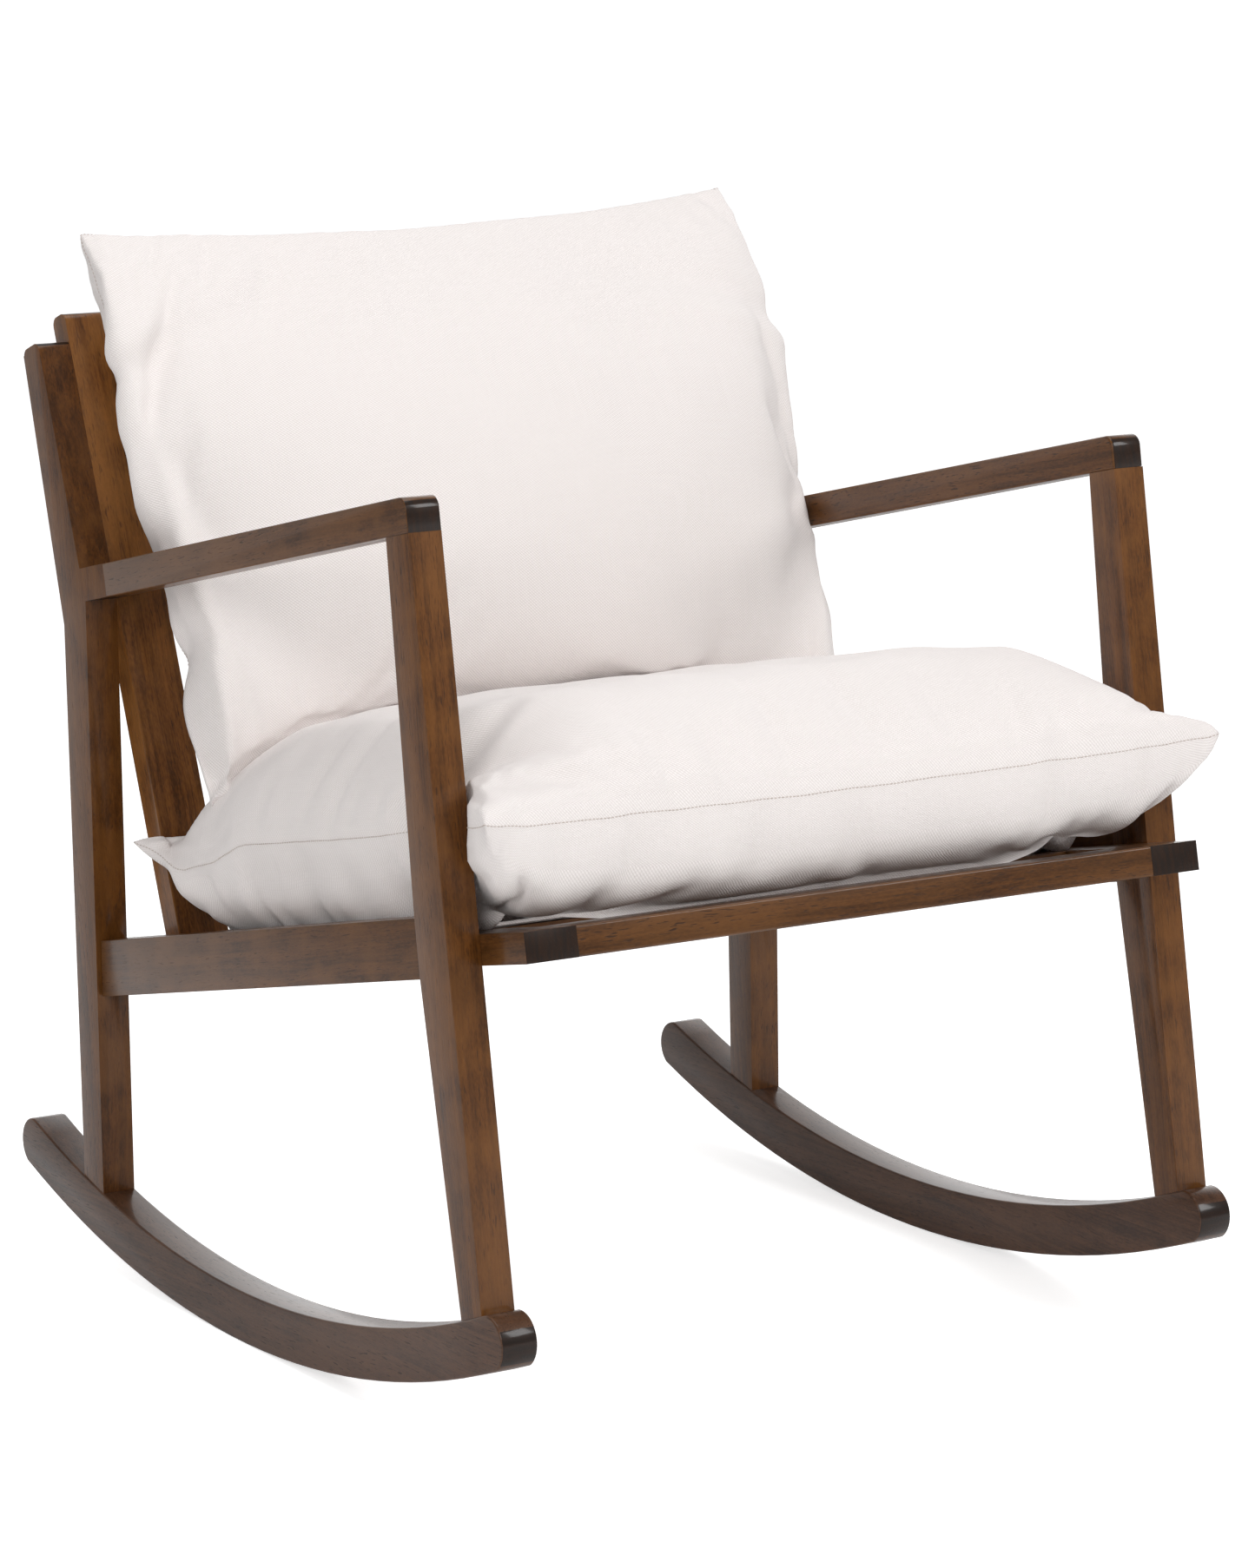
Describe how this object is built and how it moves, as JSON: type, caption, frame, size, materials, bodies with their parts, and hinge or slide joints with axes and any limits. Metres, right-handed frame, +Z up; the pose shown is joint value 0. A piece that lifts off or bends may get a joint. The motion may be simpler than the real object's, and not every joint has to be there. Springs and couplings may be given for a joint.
{
  "type": "rocking chair",
  "caption": "Wooden rocking chair with open slanted arms on curved runners, a slatted seat-and-back frame and two loose fabric cushions.",
  "frame": {"origin": "on the floor under the middle of the chair's width and midway between the front and rear ends of the runners, with the chair at rest on its runners", "axes": "+Z up; +X to the sitter's left, across the chair; -Y the way the sitter faces, so +Y is to the back"},
  "size_m": [0.662, 0.777, 0.8456],
  "materials": {
    "stained_wood": "satin",
    "cushion_cloth": "matte",
    "dowel_wood": "matte",
    "zinc_steel": "satin",
    "black_steel": "satin",
    "insert_brass": "satin"
  },
  "bodies": {
    "frame": {"left_rocker": "stained_wood", "right_rocker": "stained_wood", "left_front_leg": "stained_wood", "right_front_leg": "stained_wood", "left_rear_leg": "stained_wood", "right_rear_leg": "stained_wood", "left_arm": "stained_wood", "right_arm": "stained_wood", "left_side_rail": "stained_wood", "right_side_rail": "stained_wood", "left_seat_member": "stained_wood", "right_seat_member": "stained_wood", "seat_front_rail": "stained_wood", "seat_slat_1": "stained_wood", "seat_slat_2": "stained_wood", "seat_slat_3": "stained_wood", "seat_slat_4": "stained_wood", "seat_slat_5": "stained_wood", "left_back_stile": "stained_wood", "right_back_stile": "stained_wood", "back_bottom_rail": "stained_wood", "back_slat_1": "stained_wood", "back_slat_2": "stained_wood", "back_slat_3": "stained_wood", "back_slat_4": "stained_wood", "back_slat_5": "stained_wood", "rocker_dowels": "dowel_wood", "arm_dowels": "dowel_wood", "side_rail_dowels": "dowel_wood", "seat_frame_dowels": "dowel_wood", "back_frame_dowels": "dowel_wood", "seat_slat_screws": "zinc_steel", "back_slat_screws": "zinc_steel", "frame_bolts": "black_steel", "bolt_washers": "zinc_steel", "threaded_inserts": "insert_brass"},
    "seat_cushion": {"seat_cushion": "cushion_cloth"},
    "back_cushion": {"back_cushion": "cushion_cloth"}
  },
  "joints": [
    {"name": "seat_cushion_lift", "type": "slide", "parent": "frame", "child": "seat_cushion", "axis": [0, 0.1719, 0.9851], "range_m": [0, 0.12]},
    {"name": "back_cushion_lift", "type": "slide", "parent": "seat_cushion", "child": "back_cushion", "axis": [0, 0.3567, 0.9342], "range_m": [0, 0.25]}
  ]
}
